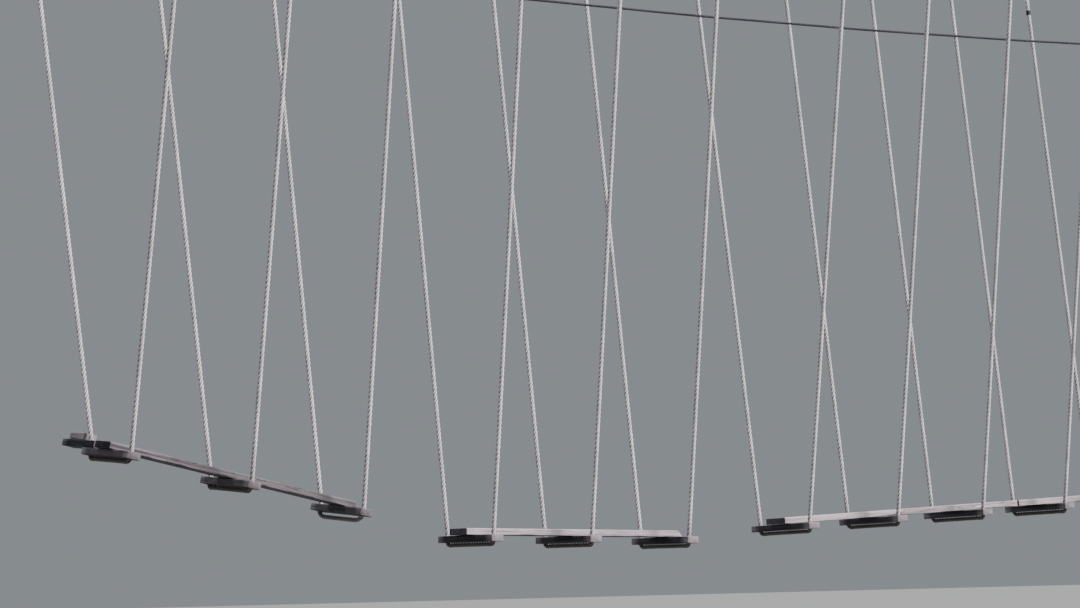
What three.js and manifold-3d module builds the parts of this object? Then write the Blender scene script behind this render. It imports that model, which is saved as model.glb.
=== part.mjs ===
// Hanging plank walk of a rope course: short board decks slung on rope loops from two steel cables.
// Millimetres, +Z up, +X along the walk. The near side is -Y and the far side is +Y.
// The origin is on the back face of the start bracket, level with its crossarm.
import * as THREE from 'three';
import * as BufferGeometryUtils from 'three/addons/utils/BufferGeometryUtils.js';
import Module from 'manifold-3d';

const wasm = await Module();
wasm.setup();

// Clearance between pieces that touch
const GAP = 0.3;

// Decks: centre of the middle crosspiece's top, slope along X, roll (far side up), crosspiece places
// along the deck, ends of the plank, slant of its last end, and half the cable spacing at each end.
const DECKS = [
  {
    x: -1274, z: 191, slope: -0.217, roll: 0.083,
    places: [-423, 0, 410], plank: [-457, 432], slant: 5, half: [643, 471],
  },
  {
    x: 0, z: 0, slope: -0.019, roll: 0.004,
    places: [-389, 0, 398], plank: [-437, 434], slant: 8, half: [429, 426],
  },
  {
    x: 1319, z: 55, slope: 0.052, roll: -0.014,
    places: [-400, 0, 400], plank: [-440, 645], slant: 0, half: [463, 422],
  },
  {
    x: 2517.4, z: 117.3, slope: 0.052, roll: -0.014,
    places: [-400, 0, 400], plank: [-547, 485], slant: 10, half: [422, 432],
  },
];
const CROSS_PITCH = 400;
const PLANK_WIDTH = 108;
const PLANK_THICK = 22;
const CROSS_LENGTH = 330;
const CROSS_WIDTH = 46;
const CROSS_THICK = 23;
const CROSS_CORNER = 5;
const HOLE_SPACING = 280;
const HOLE_DIAMETER = 21;

// A splint on the far end of the first crosspiece, which runs further out, and a short block on it.
// The rope leans there, so the splint's hole is wider and further out, and lies towards the start.
const SPLINT = { from: 87, to: 322, hole: 143.5, holeShift: -3, holeDiameter: 31 };
const BLOCK = { from: 172, to: 277, width: 44, thick: 22 };

// Rope loops: one rope a crosspiece, with a spliced eye round each cable
const ROPE_DIAMETER = 15;
const ROPE_SIDES = 8;
const HANG_HEIGHT = 2150;
const EYE_RADIUS = 20;
const EYE_LENGTH = 62;
const EYE_STEPS = 7;
const SPLICE_LENGTH = 125;
const LONG_SPLICE = { rope: 'rope_4_1', length: 185 };
const SPLICE_DIAMETER = 22;
const TURN_RADIUS = 12;
const TURN_STEPS = 3;
const TIGHT = { turn: 84, radius: 50 };
const SLACK = { turn: 60, radius: 70 };
const SLACK_ROPE = 'rope_1_3';

// Steel cables
const CABLE_DIAMETER = 12;
const SAFETY_DIAMETER = 9;
const CABLE_SIDES = 12;
const KNEE_REACH = 60;
const SAFETY_HEIGHT = 1813;
const SAFETY_SLOPE = -0.003;
const SAFETY_SAG = 7.7;
const SAFETY_STEPS = 8;
const THIMBLE_RADIUS = 15;
const THIMBLE_LENGTH = 75;
const FERRULE_RATIO = 2.15;
const FERRULE_LENGTH = 55;

// End brackets: a hollow crossarm on an upright flat bar, with ring plates for the cables
const START = { x: -2350, z: 2560, half: 820 };
const END = { x: 3600, z: 2350, half: 480 };
const ARM_SIZE = 60;
const ARM_WALL = 4;
const ARM_PAST = 60;
const BAR_WIDTH = 120;
const BAR_THICK = 12;
const BAR_PAST = 70;
const BOLT_HOLE = 18;
const BOLT_INSET = 25;
const RING_RADIUS = 22;
const RING_ROD = 7;
const RING_STAND = 15;
const BASE_THICK = 8;
const BASE_WIDTH = 76;
const BASE_HEIGHT = 50;

const cableRadius = CABLE_DIAMETER / 2;
const ropeRadius = ROPE_DIAMETER / 2;

function finish(color, roughness, metalness) {
  return new THREE.MeshStandardMaterial({ color, roughness, metalness });
}

const boardMaterial = () => finish(0xa39c98, 0.85, 0);
const ropeMaterial = () => finish(0xcfc6c6, 0.9, 0);
const cableMaterial = () => finish(0x4d535c, 0.45, 0.9);
const bracketMaterial = () => finish(0x8f9496, 0.5, 0.8);

// A path through given points that is stepped exactly at those points.
class Route extends THREE.Curve {
  constructor(points) {
    super();
    this.points = points;
  }

  getPoint(t) {
    const last = this.points.length - 1;
    const i = Math.min(Math.floor(t * last + 1e-6), last - 1);
    return this.points[i].clone().lerp(this.points[i + 1], t * last - i);
  }

  getTangent(t) {
    const last = this.points.length - 1;
    const i = Math.round(t * last);
    const tangent = new THREE.Vector3();
    if (i > 0) {
      tangent.add(this.points[i].clone().sub(this.points[i - 1]).normalize());
    }
    if (i < last) {
      tangent.add(this.points[i + 1].clone().sub(this.points[i]).normalize());
    }
    return tangent.normalize();
  }

  getPointAt(u) {
    return this.getPoint(u);
  }

  getTangentAt(u) {
    return this.getTangent(u);
  }
}

// Geometry as a solid, and back
function solid(geometry) {
  const bare = geometry.clone();
  bare.deleteAttribute('normal');
  bare.deleteAttribute('uv');
  const merged = BufferGeometryUtils.mergeVertices(bare, 1e-4);
  const vertProperties = new Float32Array(merged.attributes.position.array);
  const triVerts = new Uint32Array(merged.index.array);
  return new wasm.Manifold(new wasm.Mesh({ numProp: 3, vertProperties, triVerts }));
}

function shapeOf(manifold) {
  const mesh = manifold.getMesh();
  const geometry = new THREE.BufferGeometry();
  geometry.setAttribute('position', new THREE.BufferAttribute(new Float32Array(mesh.vertProperties), 3));
  geometry.setIndex(new THREE.BufferAttribute(new Uint32Array(mesh.triVerts), 1));
  geometry.computeVertexNormals();
  return geometry;
}

function joined(geometries) {
  return shapeOf(geometries.map(solid).reduce((whole, piece) => whole.add(piece)));
}

function polygon(radius, sides) {
  const corners = [];
  for (let i = 0; i < sides; i += 1) {
    const angle = (i / sides) * Math.PI * 2;
    corners.push(new THREE.Vector2(radius * Math.cos(angle), radius * Math.sin(angle)));
  }
  return new THREE.Shape(corners);
}

function tube(points, radius, sides) {
  const path = new Route(points);
  return new THREE.ExtrudeGeometry(polygon(radius, sides), { steps: points.length - 1, extrudePath: path });
}

// A turned shape whose axis runs from a start point along a direction
function turned(profile, start, direction, sides) {
  const points = profile.map(([radius, along]) => new THREE.Vector2(radius, along));
  const geometry = new THREE.LatheGeometry(points, sides);
  const turn = new THREE.Quaternion().setFromUnitVectors(new THREE.Vector3(0, 1, 0), direction);
  geometry.applyQuaternion(turn);
  geometry.translate(start.x, start.y, start.z);
  return geometry;
}

// Points of a teardrop eye: two legs that leave a throat, and an arc round the far end.
// The arc has an odd number of steps, so that its far end is the middle of a straight step.
function eyePoints(centre, along, side, radius, throat, steps) {
  const from = Math.acos(radius / centre.distanceTo(throat));
  const points = [throat.clone()];
  for (let i = 0; i <= steps; i += 1) {
    const turn = from + ((Math.PI * 2 - 2 * from) * i) / steps;
    const point = centre.clone();
    point.addScaledVector(along, radius * Math.cos(turn));
    point.addScaledVector(side, radius * Math.sin(turn));
    points.push(point);
  }
  points.push(throat.clone());
  return points;
}

// Distance from an eye's centre to the middle of its far step
function eyeReach(radius, length, steps) {
  const from = Math.acos(radius / length);
  return radius * Math.cos((Math.PI - from) / steps);
}

function deckFrame(deck) {
  const frame = new THREE.Group();
  const pitch = new THREE.Quaternion().setFromAxisAngle(new THREE.Vector3(0, 1, 0), -Math.atan(deck.slope));
  const roll = new THREE.Quaternion().setFromAxisAngle(new THREE.Vector3(1, 0, 0), deck.roll);
  frame.position.set(deck.x, 0, deck.z);
  frame.quaternion.copy(pitch.multiply(roll));
  frame.updateMatrixWorld(true);
  return frame;
}

// Centre of a cable above a place along a deck, measured from the deck's middle crosspiece
function cableOver(deck, along, side) {
  const angle = Math.atan(deck.slope);
  const share = along / (2 * CROSS_PITCH) + 0.5;
  const half = THREE.MathUtils.lerp(deck.half[0], deck.half[1], share);
  const x = deck.x + along * Math.cos(angle);
  return new THREE.Vector3(x, side * half, deck.z + along * Math.sin(angle) + HANG_HEIGHT);
}

function ringCentre(end, toward) {
  const reach = BAR_THICK + ARM_SIZE + GAP + BASE_THICK + RING_STAND + RING_RADIUS;
  return { x: end.x + toward * reach, z: end.z, half: end.half };
}

function cableKnots(side) {
  const first = ringCentre(START, 1);
  const last = ringCentre(END, -1);
  const knots = [new THREE.Vector3(first.x, side * first.half, first.z)];
  for (const deck of DECKS) {
    const [from, , to] = deck.places;
    knots.push(cableOver(deck, from - KNEE_REACH, side), cableOver(deck, to + KNEE_REACH, side));
  }
  knots.push(new THREE.Vector3(last.x, side * last.half, last.z));
  return knots;
}

function safetyKnots() {
  const from = START.x + BAR_THICK + GAP + BASE_THICK + RING_STAND + RING_RADIUS;
  const to = END.x - BAR_THICK - GAP - BASE_THICK - RING_STAND - RING_RADIUS;
  const knots = [];
  for (let i = 0; i <= SAFETY_STEPS; i += 1) {
    const x = from + ((to - from) * i) / SAFETY_STEPS;
    knots.push(new THREE.Vector3(x, 0, SAFETY_HEIGHT + SAFETY_SLOPE * x + SAFETY_SAG * (x / 1000) ** 2));
  }
  return knots;
}

// A cable that runs through its knots, with a thimble eye and a ferrule at each end
function cableGeometry(knots, diameter) {
  const cable = diameter / 2;
  const run = knots.map((knot) => knot.clone());
  const pieces = [];
  for (const [ring, next, index] of [[0, 1, 0], [knots.length - 1, knots.length - 2, knots.length - 1]]) {
    const along = knots[next].clone().sub(knots[ring]).normalize();
    const side = new THREE.Vector3().crossVectors(along, new THREE.Vector3(0, 0, 1)).normalize();
    const contact = cable + RING_ROD + GAP;
    const reach = eyeReach(THIMBLE_RADIUS, THIMBLE_LENGTH, EYE_STEPS);
    const centre = knots[ring].clone().addScaledVector(along, RING_RADIUS + reach - contact);
    const throat = centre.clone().addScaledVector(along, THIMBLE_LENGTH);
    const eye = eyePoints(centre, along, side, THIMBLE_RADIUS, throat, EYE_STEPS);
    pieces.push(tube(eye, cable, ROPE_SIDES));
    const ferruleStart = throat.clone().addScaledVector(along, -FERRULE_LENGTH * 0.3);
    const radius = diameter * FERRULE_RATIO / 2;
    const profile = [
      [0, 0],
      [radius * 0.8, 0],
      [radius, 4],
      [radius, FERRULE_LENGTH - 8],
      [radius * 0.65, FERRULE_LENGTH],
      [0, FERRULE_LENGTH],
    ];
    pieces.push(turned(profile, ferruleStart, along, ROPE_SIDES));
    run[index] = throat.clone();
  }
  pieces.push(tube(run, cable, CABLE_SIDES));
  return joined(pieces);
}

// The bend of a rope out of a crosspiece's hole and into the slack run below it, in the board's
// own frame. The rope bears on the hole's lower inner edge.
function underBoard(side, belly) {
  const edge = TURN_RADIUS - HOLE_DIAMETER / 2;
  const turn = THREE.MathUtils.degToRad(belly.turn);
  const bearing = (TURN_RADIUS - ropeRadius) * Math.cos(turn / TURN_STEPS / 2) - GAP;
  const centreZ = -CROSS_THICK + Math.sqrt(bearing ** 2 - edge ** 2);
  const centreY = HOLE_SPACING / 2 - TURN_RADIUS;
  const points = [new THREE.Vector3(0, HOLE_SPACING / 2, 2)];
  for (let i = 0; i <= TURN_STEPS; i += 1) {
    const angle = (turn * i) / TURN_STEPS;
    const y = centreY + TURN_RADIUS * Math.cos(angle);
    points.push(new THREE.Vector3(0, y, centreZ - TURN_RADIUS * Math.sin(angle)));
  }
  const corner = points[points.length - 1];
  const left = Math.PI / 2 - turn;
  for (const share of [0.5, 1]) {
    const angle = left * (1 - share);
    const y = corner.y - belly.radius * (Math.sin(left) - Math.sin(angle));
    const z = corner.z - belly.radius * (Math.cos(angle) - Math.cos(left));
    points.push(new THREE.Vector3(0, y, z));
  }
  return points.map((point) => new THREE.Vector3(0, side * point.y, point.z));
}

// One rope: near eye, down through the near hole, under the board, up through the far hole, far eye
function ropeGeometry(deck, along, belly, spliceLength) {
  const frame = deckFrame(deck);
  const cableLine = (side) => cableOver(deck, 1, side).sub(cableOver(deck, 0, side)).normalize();
  const pieces = [];
  const ends = [];
  const halves = [];
  for (const side of [-1, 1]) {
    const bends = underBoard(side, belly).map((p) => frame.localToWorld(p.clone().setX(along)));
    const cable = cableOver(deck, along, side);
    const down = bends[0].clone().sub(cable).normalize();
    const across = new THREE.Vector3().crossVectors(down, new THREE.Vector3(1, 0, 0)).normalize();
    const tilt = cableLine(side).dot(down);
    const contact = (cableRadius + ropeRadius + GAP) / Math.sqrt(1 - tilt ** 2);
    const reach = eyeReach(EYE_RADIUS, EYE_LENGTH, EYE_STEPS);
    const centre = cable.clone().addScaledVector(down, reach - contact);
    const throat = centre.clone().addScaledVector(down, EYE_LENGTH);
    const eye = eyePoints(centre, down, across, EYE_RADIUS, throat, EYE_STEPS);
    pieces.push(tube(eye, ropeRadius, ROPE_SIDES));
    const splice = SPLICE_DIAMETER / 2;
    const profile = [
      [0, 0],
      [splice * 0.9, 0],
      [splice, 30],
      [ropeRadius * 1.1, spliceLength],
      [0, spliceLength],
    ];
    pieces.push(turned(profile, throat.clone().addScaledVector(down, -18), down, ROPE_SIDES));
    ends.push(throat);
    halves.push(bends);
  }
  const run = [ends[0], ...halves[0], ...halves[1].reverse(), ends[1]];
  return joined([tube(run, ropeRadius, ROPE_SIDES), ...pieces]);
}

function outline(corners) {
  return new THREE.Shape(corners.map(([x, y]) => new THREE.Vector2(x, y)));
}

// Board across the walk from one place to another, with rope holes at [x, y] and its top at height 0
function crossBoard(near, far, holes, diameter) {
  const x = CROSS_WIDTH / 2;
  const c = CROSS_CORNER;
  const shape = outline([
    [-x + c, near], [x - c, near], [x, near + c], [x, far - c],
    [x - c, far], [-x + c, far], [-x, far - c], [-x, near + c],
  ]);
  for (const [holeX, holeY] of holes) {
    const hole = new THREE.Path();
    hole.absarc(holeX, holeY, diameter / 2, 0, Math.PI * 2, true);
    shape.holes.push(hole);
  }
  const settings = { depth: CROSS_THICK, bevelEnabled: false, curveSegments: 8 };
  return new THREE.ExtrudeGeometry(shape, settings).translate(0, 0, -CROSS_THICK);
}

function crosspieceGeometry() {
  const holes = [[0, -HOLE_SPACING / 2], [0, HOLE_SPACING / 2]];
  return crossBoard(-CROSS_LENGTH / 2, CROSS_LENGTH / 2, holes, HOLE_DIAMETER);
}

function splintGeometry() {
  const splint = crossBoard(SPLINT.from, SPLINT.to, [[SPLINT.holeShift, SPLINT.hole]], SPLINT.holeDiameter);
  return splint.translate(0, 0, GAP + CROSS_THICK);
}

function blockGeometry() {
  const length = BLOCK.to - BLOCK.from;
  const block = new THREE.BoxGeometry(BLOCK.width, length, BLOCK.thick);
  return block.translate(0, BLOCK.from + length / 2, GAP + CROSS_THICK + GAP + BLOCK.thick / 2);
}

function plankGeometry(deck) {
  const [first, last] = deck.plank;
  const y = PLANK_WIDTH / 2;
  const shape = outline([[first, -y], [last, -y], [last - deck.slant, y], [first, y]]);
  const settings = { depth: PLANK_THICK, bevelEnabled: false };
  return new THREE.ExtrudeGeometry(shape, settings).translate(0, 0, GAP);
}

function cylinderAlongX(radius, from, to, y, z, sides) {
  const geometry = new THREE.CylinderGeometry(radius, radius, Math.abs(to - from), sides);
  geometry.rotateZ(Math.PI / 2);
  return geometry.translate((from + to) / 2, y, z);
}

// Bracket for one end. toward is +1 where the walk runs off along +X, else -1.
function bracketGeometry(end, toward, safetyZ) {
  const armLength = 2 * (end.half + ARM_PAST);
  const inner = ARM_SIZE / 2 - ARM_WALL;
  const outer = ARM_SIZE / 2;
  const section = outline([[-outer, -outer], [outer, -outer], [outer, outer], [-outer, outer]]);
  const bore = new THREE.Path([[-inner, -inner], [-inner, inner], [inner, inner], [inner, -inner]]
    .map(([x, y]) => new THREE.Vector2(x, y)));
  section.holes.push(bore);
  const arm = new THREE.ExtrudeGeometry(section, { depth: armLength, bevelEnabled: false });
  arm.rotateX(Math.PI / 2).translate(0, armLength / 2, 0);
  arm.translate(end.x + toward * (BAR_THICK + outer - 0.01), 0, end.z);
  const top = end.z + outer + BAR_PAST;
  const bottom = safetyZ - BAR_PAST;
  const bar = new THREE.BoxGeometry(BAR_THICK, BAR_WIDTH, top - bottom);
  bar.translate(end.x + (toward * BAR_THICK) / 2, 0, (top + bottom) / 2);
  let whole = solid(bar).add(solid(arm));
  for (const z of [top - BOLT_INSET, bottom + BOLT_INSET]) {
    for (const y of [-BAR_WIDTH / 2 + BOLT_INSET, BAR_WIDTH / 2 - BOLT_INSET]) {
      const hole = cylinderAlongX(BOLT_HOLE / 2, end.x - 5, end.x + toward * (BAR_THICK + 5), y, z, 12);
      whole = whole.subtract(solid(hole));
    }
  }
  return shapeOf(whole);
}

// Ring on a base plate that lies on a face at faceX. The ring stands in the plane of its cable.
function ringPlateGeometry(faceX, toward, ring, next) {
  const along = next.clone().sub(ring).normalize();
  const flat = new THREE.Vector3(along.x, along.y, 0).normalize();
  const axis = new THREE.Vector3().crossVectors(along, new THREE.Vector3(0, 0, 1)).normalize();
  const upright = new THREE.Vector3().crossVectors(axis, along);
  const torus = new THREE.TorusGeometry(RING_RADIUS, RING_ROD, 8, 14);
  torus.applyMatrix4(new THREE.Matrix4().makeBasis(along, upright, axis));
  torus.translate(ring.x, ring.y, ring.z);
  const back = ring.clone().addScaledVector(flat, -RING_RADIUS);
  const near = faceX + toward * GAP;
  const base = new THREE.BoxGeometry(BASE_THICK, BASE_WIDTH, BASE_HEIGHT);
  base.translate(near + (toward * BASE_THICK) / 2, back.y, ring.z);
  const neck = cylinderAlongX(RING_ROD + 1, near + toward * 2, back.x, back.y, ring.z, 10);
  return joined([base, neck, torus]);
}

const bridge = new THREE.Group();
bridge.position.set(-START.x, 0, -START.z);

function add(parent, name, geometry, material) {
  const mesh = new THREE.Mesh(geometry, material);
  mesh.name = name;
  parent.add(mesh);
}

DECKS.forEach((deck, d) => {
  const frame = deckFrame(deck);
  bridge.add(frame);
  add(frame, `plank_${d + 1}`, plankGeometry(deck), boardMaterial());
  deck.places.forEach((along, i) => {
    const rope = `rope_${d + 1}_${i + 1}`;
    const belly = rope === SLACK_ROPE ? SLACK : TIGHT;
    const splice = rope === LONG_SPLICE.rope ? LONG_SPLICE.length : SPLICE_LENGTH;
    const crosspiece = crosspieceGeometry().translate(along, 0, 0);
    add(frame, `crosspiece_${d + 1}_${i + 1}`, crosspiece, boardMaterial());
    add(bridge, rope, ropeGeometry(deck, along, belly, splice), ropeMaterial());
  });
  if (d === 0) {
    add(frame, 'end_splint', splintGeometry().translate(deck.places[0], 0, 0), boardMaterial());
    add(frame, 'end_block', blockGeometry().translate(deck.places[0], 0, 0), boardMaterial());
  }
});

const nearKnots = cableKnots(-1);
const farKnots = cableKnots(1);
const middleKnots = safetyKnots();
add(bridge, 'main_cable_near', cableGeometry(nearKnots, CABLE_DIAMETER), cableMaterial());
add(bridge, 'main_cable_far', cableGeometry(farKnots, CABLE_DIAMETER), cableMaterial());
add(bridge, 'safety_cable', cableGeometry(middleKnots, SAFETY_DIAMETER), cableMaterial());

for (const [place, end, toward] of [['start', START, 1], ['end', END, -1]]) {
  const armFace = end.x + toward * (BAR_THICK + ARM_SIZE);
  const barFace = end.x + toward * BAR_THICK;
  const lines = [
    ['near', nearKnots, armFace],
    ['far', farKnots, armFace],
    ['middle', middleKnots, barFace],
  ];
  const pick = (knots) => (toward > 0 ? [knots[0], knots[1]] : [knots.at(-1), knots.at(-2)]);
  add(bridge, `bracket_${place}`, bracketGeometry(end, toward, pick(middleKnots)[0].z), bracketMaterial());
  for (const [side, knots, face] of lines) {
    const [ring, next] = pick(knots);
    const plate = ringPlateGeometry(face, toward, ring, next);
    add(bridge, `ring_plate_${place}_${side}`, plate, bracketMaterial());
  }
}

bridge.updateMatrixWorld(true);

export default bridge;
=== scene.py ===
"""Hanging plank walk: weathered board decks slung in rope loops from two overhead steel cables.

Metres, +Z up, +X along the walk. The near side is -Y and the far side is +Y.
"""
import math
import random
from typing import NamedTuple

import bmesh
import bpy
import numpy as np
from bpy.props import FloatProperty, FloatVectorProperty, IntProperty, PointerProperty
from mathutils import Matrix, Vector
from mathutils.noise import noise


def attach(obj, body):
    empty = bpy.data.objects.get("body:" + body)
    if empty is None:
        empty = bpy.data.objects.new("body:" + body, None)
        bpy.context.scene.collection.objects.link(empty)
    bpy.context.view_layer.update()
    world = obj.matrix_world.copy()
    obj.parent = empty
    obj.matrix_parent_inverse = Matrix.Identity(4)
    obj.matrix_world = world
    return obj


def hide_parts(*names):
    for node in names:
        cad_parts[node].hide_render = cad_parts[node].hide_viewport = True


bl_info = {
    "name": "Rope Suspension Footbridge",
    "version": (1, 0, 0),
    "blender": (4, 5, 0),
    "location": "3D View > Sidebar > Footbridge",
    "description": "Dresses a hanging plank walk: boards, laid ropes, wire ropes and end brackets",
    "category": "Add Mesh",
}

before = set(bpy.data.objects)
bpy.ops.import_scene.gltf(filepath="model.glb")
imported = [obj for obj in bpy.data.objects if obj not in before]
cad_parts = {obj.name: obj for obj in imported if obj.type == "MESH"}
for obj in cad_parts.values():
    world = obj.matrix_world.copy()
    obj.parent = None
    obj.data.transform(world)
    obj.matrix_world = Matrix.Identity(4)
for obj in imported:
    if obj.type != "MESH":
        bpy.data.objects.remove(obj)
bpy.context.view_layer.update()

MM = 0.001
GAP = 0.3 * MM
X_AXIS = Vector((1, 0, 0))
Z_AXIS = Vector((0, 0, 1))
SIDES = (-1, 1)

# The working origin is the top of the second deck's middle crosspiece
ORIGIN = Vector((2.350, 0.0, -2.560))
HANG_HEIGHT = 2.150
CROSS_PITCH = 0.400

# Angles over which an edge between faces is sharp, on steel and on wood
STEEL_SHARP = math.radians(35)
WOOD_SHARP = math.radians(50)

# Boards: corners, spacing of points, sawn ends, checks, wear, and the flare of the rope holes
CORNER_RADIUS = 2.2 * MM
POINT_SPACING = 5.5 * MM
STATION_SPACING = 9 * MM
SAWN_LIP = 1.4 * MM
CHECK_MOUTH = 0.9 * MM
CHECK_DEPTH = (1.3 * MM, 2.6 * MM)
WEAR_DEPTH = 2.6 * MM
WORN_REACH = 70 * MM
EDGE_BAND = 4 * MM
HOLE_FLARE = 1.6 * MM
FLARE_DEPTH = 2.2 * MM

# Rope eyes, splices and the run under each board
EYE_RADIUS = 20 * MM
EYE_LENGTH = 62 * MM
SPLICE_LENGTH = 125 * MM
SPLICE_OVERLAP = 18 * MM
LONG_SPLICE = ("rope_4_2", 178 * MM)
WHIPPING = 18 * MM
TURN_RADIUS = 12 * MM
TURN_STEPS = 3
LIFT_INSET = 40 * MM
SLACK_ROPE = "rope_1_3"


class Belly(NamedTuple):
    """The run under a board: the bend out of the hole, the radius that levels it, and its lift."""

    turn: float
    radius: float
    lift: float


TIGHT = Belly(math.radians(84), 50 * MM, 0.7 * MM)
SLACK = Belly(math.radians(60), 70 * MM, 0.0)

# The splint on the first crosspiece's far end, with its wider rope hole, and the block on it
SPLINT = (87 * MM, 322 * MM)
SPLINT_HOLE = (143.5 * MM, 3 * MM)
SPLINT_HOLE_DIAMETER = 31 * MM
BLOCK = (172 * MM, 277 * MM)
BLOCK_WIDTH = 44 * MM
BLOCK_THICK = 22 * MM

# Cables
LINES = {"near": -1, "far": 1, "middle": 0}
KNEE_REACH = 60 * MM
THIMBLE_RADIUS = 15 * MM
THIMBLE_LENGTH = 75 * MM
THIMBLE_STEPS = 7
FERRULE_LENGTH = 55 * MM
SAFETY_HEIGHT = 1.813
SAFETY_SLOPE = -0.003
SAFETY_SAG = 0.0077
SAFETY_STEPS = 8

# End brackets and ring plates
ARM_SIZE = 60 * MM
ARM_WALL = 4 * MM
ARM_PAST = 60 * MM
BAR_WIDTH = 120 * MM
BAR_THICK = 12 * MM
BAR_PAST = 70 * MM
BOLT_HOLE = 18 * MM
BOLT_INSET = 25 * MM
BEAD_PITCH = 3.2 * MM
RING_RADIUS = 22 * MM
RING_ROD = 7 * MM
RING_STAND = 15 * MM
BASE_THICK = 8 * MM
BASE_WIDTH = 76 * MM
BASE_HEIGHT = 50 * MM
BASE_INSET = 12 * MM

# Deck screws: off the crosspiece's middle, off the plank's as a share of its width, and their drift
SCREW_ALONG = 9 * MM
SCREW_ACROSS = 0.31
SCREW_DRIFT = (2 * MM, 3 * MM)

# Where the two lights come from, the key light's tint, and the floor's reach
KEY_FROM = (6.5, -7.5, 6.0)
TOP_FROM = (-0.5, 2.0, 6.5)
WARM = (1.0, 0.97, 0.94)
FLOOR_REACH = 150.0


class Deck(NamedTuple):
    """One deck: the place and lie of its middle crosspiece, its plank, and its cables' spacing.

    Its plank's last upper edge is worn back by worn, and shaded is how much painted shade darkens its wood.
    """

    number: int
    body: str
    x: float
    z: float
    slope: float
    roll: float
    places: tuple
    plank: tuple
    slant: float
    half: tuple
    worn: float
    shaded: float

    @property
    def matrix(self):
        pitch = Matrix.Rotation(-math.atan(self.slope), 4, "Y")
        turn = pitch @ Matrix.Rotation(self.roll, 4, "X")
        return Matrix.Translation(ORIGIN + Vector((self.x, 0, self.z))) @ turn

    def cable_over(self, along, side):
        """Centre of a cable above a place along the deck."""
        angle = math.atan(self.slope)
        share = along / (2 * CROSS_PITCH) + 0.5
        half = self.half[0] + (self.half[1] - self.half[0]) * share
        rise = along * math.sin(angle) + HANG_HEIGHT
        return ORIGIN + Vector((self.x + along * math.cos(angle), side * half, self.z + rise))


DECKS = (
    Deck(1, "deck_1", x=-1.274, z=0.191, slope=-0.217, roll=0.083, places=(-0.423, 0, 0.410),
         plank=(-0.457, 0.432), slant=0.005, half=(0.643, 0.471), worn=5 * MM, shaded=0.70),
    Deck(2, "deck_2", x=0, z=0, slope=-0.019, roll=0.004, places=(-0.389, 0, 0.398),
         plank=(-0.437, 0.434), slant=0.008, half=(0.429, 0.426), worn=17 * MM, shaded=0.0),
    Deck(3, "deck_3", x=1.319, z=0.055, slope=0.052, roll=-0.014, places=(-0.4, 0, 0.4),
         plank=(-0.440, 0.645), slant=0, half=(0.463, 0.422), worn=0.0, shaded=0.0),
    Deck(4, "deck_3", x=2.5174, z=0.1173, slope=0.052, roll=-0.014, places=(-0.4, 0, 0.4),
         plank=(-0.547, 0.485), slant=0.010, half=(0.422, 0.432), worn=3 * MM, shaded=0.0),
)


def safety_height(x):
    """Height of the middle cable at a place along the walk."""
    place = x - ORIGIN.x
    return ORIGIN.z + SAFETY_HEIGHT + SAFETY_SLOPE * place + SAFETY_SAG * place ** 2


class End(NamedTuple):
    """One end: which way the walk runs off, the bracket's back face, and half its rings' spacing."""

    name: str
    toward: int
    x: float
    z: float
    half: float

    def ring(self, line):
        """Centre of the ring that holds the near, far or middle line."""
        side = LINES[line]
        reach = GAP + BASE_THICK + RING_STAND + RING_RADIUS
        x = self.x + self.toward * (BAR_THICK + ARM_SIZE * abs(side) + reach)
        return Vector((x, side * self.half, self.z if side else safety_height(x)))


ENDS = (
    End("start", 1, ORIGIN.x - 2.350, ORIGIN.z + 2.560, 0.820),
    End("end", -1, ORIGIN.x + 3.600, ORIGIN.z + 2.350, 0.480),
)


def length_prop(name, description, default):
    return FloatProperty(name=name, description=description, default=default, unit="LENGTH")


def number_prop(name, description, default):
    return FloatProperty(name=name, description=description, default=default)


def angle_prop(name, description, degrees):
    return FloatProperty(name=name, description=description, default=math.radians(degrees), unit="ROTATION")


def colour_prop(name, description, *default):
    return FloatVectorProperty(name=name, description=description, default=default, subtype="COLOR", size=3)


class BoardSettings(bpy.types.PropertyGroup):
    plank_width: length_prop("Plank width", "Width of each deck's plank", 0.108)
    plank_thick: length_prop("Plank thickness", "Thickness of each deck's plank", 0.022)
    cross_length: length_prop("Crosspiece length", "Length of a crosspiece", 0.330)
    cross_width: length_prop("Crosspiece width", "Width of a crosspiece", 0.046)
    cross_thick: length_prop("Crosspiece thickness", "Thickness of a crosspiece", 0.023)
    hole_spacing: length_prop("Hole spacing", "Distance between a crosspiece's two holes", 0.280)
    hole_diameter: length_prop("Hole diameter", "Diameter of the rope holes", 0.021)
    pale: colour_prop("Pale wood", "Sun-bleached silver wood", 0.45, 0.385, 0.43)
    grey: colour_prop("Grey wood", "Darker streaks between the pale ones", 0.19, 0.163, 0.185)
    # Painted shade, partly wet staining: undersides and faces towards the start are darkened to this tone.
    shaded_slate: colour_prop("Slate wood", "Damp wood on shaded faces", 0.010, 0.010, 0.017)
    check: colour_prop("Check colour", "Inside of drying checks", 0.018, 0.014, 0.014)


class RopeSettings(bpy.types.PropertyGroup):
    diameter: length_prop("Rope diameter", "Diameter of the laid rope", 0.015)
    lay: length_prop("Lay length", "Length of one turn of a strand", 0.047)
    strands: IntProperty(name="Strands", description="Strands laid into the rope", default=3)
    fuzz: length_prop("Fuzz", "How far the spun fibres stand out of the rope's own radius", 0.0003)
    fibre: colour_prop("Fibre", "Bleached fibre on the strands' crowns", 0.83, 0.775, 0.82)
    # Painted shade, partly dirt: this tone darkens the rope between its strands, and also colours its dull
    # patches.
    groove_dirt_and_shade: colour_prop("Groove", "Dirt between the strands", 0.060, 0.050, 0.060)
    # Painted shade, partly real staining: this brown darkens the rope in and under the boards, and colours
    # small specks.
    stain: colour_prop("Stain", "Brown stain under the boards", 0.055, 0.036, 0.020)
    twine: colour_prop("Twine", "Dark whipping twine", 0.035, 0.032, 0.035)


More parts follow.
